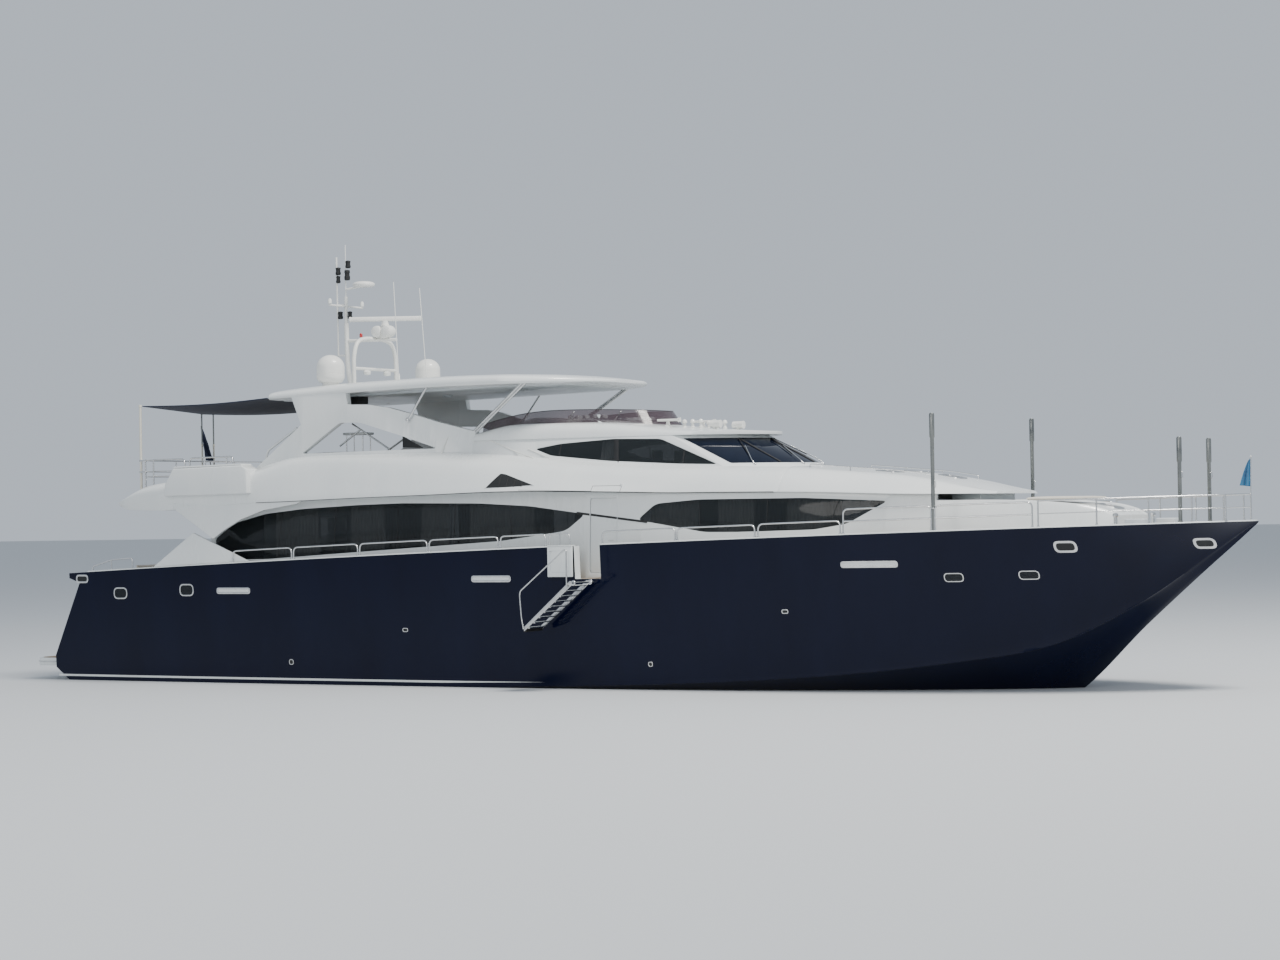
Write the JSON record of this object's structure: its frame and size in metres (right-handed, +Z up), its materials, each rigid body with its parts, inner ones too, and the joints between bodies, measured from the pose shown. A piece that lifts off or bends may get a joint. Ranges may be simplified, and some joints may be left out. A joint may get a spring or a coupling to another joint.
{
  "type": "motor yacht",
  "caption": "Flybridge motor yacht with a dark hull, white superstructure, smoked windows, hardtop on side arches, foredeck rails, awning and boarding ladder.",
  "frame": {"origin": "on the centreline at the waterline, abreast of the boarding gates", "axes": "+X towards the bow, +Y to port, +Z up"},
  "size_m": [32.11, 7.913, 12.83],
  "materials": {
    "navy_paint": "high gloss navy paint",
    "white_gelcoat": "white gelcoat",
    "grey_gelcoat": "pale grey gelcoat",
    "tinted_glass": "smoked safety glass",
    "screen_glass": "tinted windscreen glass",
    "acrylic": "tinted acrylic",
    "stainless": "polished stainless steel",
    "teak": "oiled teak",
    "navy_fabric": "navy canvas",
    "pale_leather": "pale upholstery",
    "bronze": "bare bronze",
    "antifouling": "matt antifouling paint",
    "dark_wood": "varnished dark wood"
  },
  "bodies": {
    "yacht": {"hull": "navy_paint", "bulwark_fore": "navy_paint", "bulwark_aft": "navy_paint", "shaft_port": "stainless", "shaft_starboard": "stainless", "swim_platform": "teak", "pilothouse_deck": "white_gelcoat", "upper_deck": "white_gelcoat", "coachroof": "white_gelcoat", "deckhouse_wall_port": "white_gelcoat", "saloon_glass_port": "tinted_glass", "cabin_glass_port": "tinted_glass", "deckhouse_wall_starboard": "white_gelcoat", "saloon_glass_starboard": "tinted_glass", "cabin_glass_starboard": "tinted_glass", "saloon_bulkhead": "grey_gelcoat", "pilothouse_band": "white_gelcoat", "pilothouse_glass_port": "tinted_glass", "pilothouse_glass_starboard": "tinted_glass", "windscreen": "screen_glass", "pilothouse_roof": "white_gelcoat", "foredeck_trunk": "white_gelcoat", "foredeck_sunpad": "pale_leather", "arch_port": "white_gelcoat", "arch_starboard": "white_gelcoat", "hardtop": "white_gelcoat", "mast": "white_gelcoat", "wind_deflector": "acrylic", "awning": "navy_fabric", "flybridge_rail": "stainless", "side_rail_aft_port": "stainless", "side_rail_aft_starboard": "stainless", "side_rail_fore_port": "stainless", "side_rail_fore_starboard": "stainless", "pulpit": "stainless", "quarter_wing_port": "white_gelcoat", "quarter_wing_starboard": "white_gelcoat", "aft_deck_furniture": "pale_leather", "flybridge_furniture": "pale_leather", "covered_sunbed": "navy_fabric", "helm_console": "dark_wood", "saloon_furniture": "pale_leather", "windlass": "stainless"},
    "propeller_port_body": {"propeller_port": "bronze"},
    "propeller_starboard_body": {"propeller_starboard": "bronze"},
    "rudder_port_body": {"rudder_port": "bronze"},
    "rudder_starboard_body": {"rudder_starboard": "bronze"},
    "fin_port_body": {"stabiliser_fin_port": "antifouling"},
    "fin_starboard_body": {"stabiliser_fin_starboard": "antifouling"},
    "saloon_door_port_body": {"saloon_door_port": "tinted_glass"},
    "saloon_door_starboard_body": {"saloon_door_starboard": "tinted_glass"},
    "side_door_port_body": {"side_door_port": "grey_gelcoat"},
    "side_door_starboard_body": {"side_door_starboard": "grey_gelcoat"},
    "scanner_body": {"radar_scanner": "white_gelcoat"},
    "gate_port_body": {"gate_door_port": "white_gelcoat"},
    "gate_starboard_body": {"gate_door_starboard": "white_gelcoat"},
    "ladder_body": {"boarding_ladder": "stainless", "ladder_handrail": "stainless"},
    "transom_door_body": {"transom_door": "navy_paint"}
  },
  "joints": [
    {"name": "propeller_port_spin", "type": "hinge", "parent": "yacht", "child": "propeller_port_body", "pos_m": [-14.01, 1.15, -1.282], "axis": [1, 0, 0], "continuous": true},
    {"name": "propeller_starboard_spin", "type": "hinge", "parent": "yacht", "child": "propeller_starboard_body", "pos_m": [-14.01, -1.15, -1.282], "axis": [1, 0, 0], "continuous": true},
    {"name": "rudder_port_turn", "type": "hinge", "parent": "yacht", "child": "rudder_port_body", "pos_m": [-14.88, 1.15, -1.2], "axis": [0, 0, 1], "range_deg": [-35, 35]},
    {"name": "rudder_starboard_turn", "type": "hinge", "parent": "yacht", "child": "rudder_starboard_body", "pos_m": [-14.88, -1.15, -1.2], "axis": [0, 0, 1], "range_deg": [-35, 35]},
    {"name": "fin_port_turn", "type": "hinge", "parent": "yacht", "child": "fin_port_body", "pos_m": [-0.9, 2.37248, -0.35563], "axis": [0, 0.3746, -0.9272], "range_deg": [-20, 20]},
    {"name": "fin_starboard_turn", "type": "hinge", "parent": "yacht", "child": "fin_starboard_body", "pos_m": [-0.9, -2.37248, -0.35563], "axis": [0, -0.3746, -0.9272], "range_deg": [-20, 20]},
    {"name": "saloon_door_port_slide", "type": "slide", "parent": "yacht", "child": "saloon_door_port_body", "axis": [0, 1, 0], "range_m": [0, 1.1]},
    {"name": "saloon_door_starboard_slide", "type": "slide", "parent": "yacht", "child": "saloon_door_starboard_body", "axis": [0, -1, 0], "range_m": [0, 1.1]},
    {"name": "side_door_port_swing", "type": "hinge", "parent": "yacht", "child": "side_door_port_body", "pos_m": [0.068, 2.7065, 2.69], "axis": [0, 0.0479, -0.9988], "range_deg": [0, 90]},
    {"name": "side_door_starboard_swing", "type": "hinge", "parent": "yacht", "child": "side_door_starboard_body", "pos_m": [0.068, -2.7065, 2.69], "axis": [0, 0.0479, 0.9988], "range_deg": [0, 90]},
    {"name": "radar_scanner_spin", "type": "hinge", "parent": "yacht", "child": "scanner_body", "pos_m": [-7.45, 0, 9.1], "axis": [0, 0, 1], "continuous": true},
    {"name": "gate_port_swing", "type": "hinge", "parent": "yacht", "child": "gate_port_body", "pos_m": [0.055, 3.468, 3], "axis": [0, 0, 1], "range_deg": [0, 180]},
    {"name": "gate_starboard_swing", "type": "hinge", "parent": "yacht", "child": "gate_starboard_body", "pos_m": [0.055, -3.468, 3], "axis": [0, 0, 1], "range_deg": [0, 180]},
    {"name": "boarding_ladder_raise", "type": "hinge", "parent": "yacht", "child": "ladder_body", "pos_m": [0.56, -4, 2.5], "axis": [0, 1, 0], "range_deg": [-5, 20]},
    {"name": "transom_door_lift", "type": "hinge", "parent": "yacht", "child": "transom_door_body", "pos_m": [-15.12, 0, 2.31], "axis": [0, 1, 0], "range_deg": [0, 70]}
  ]
}
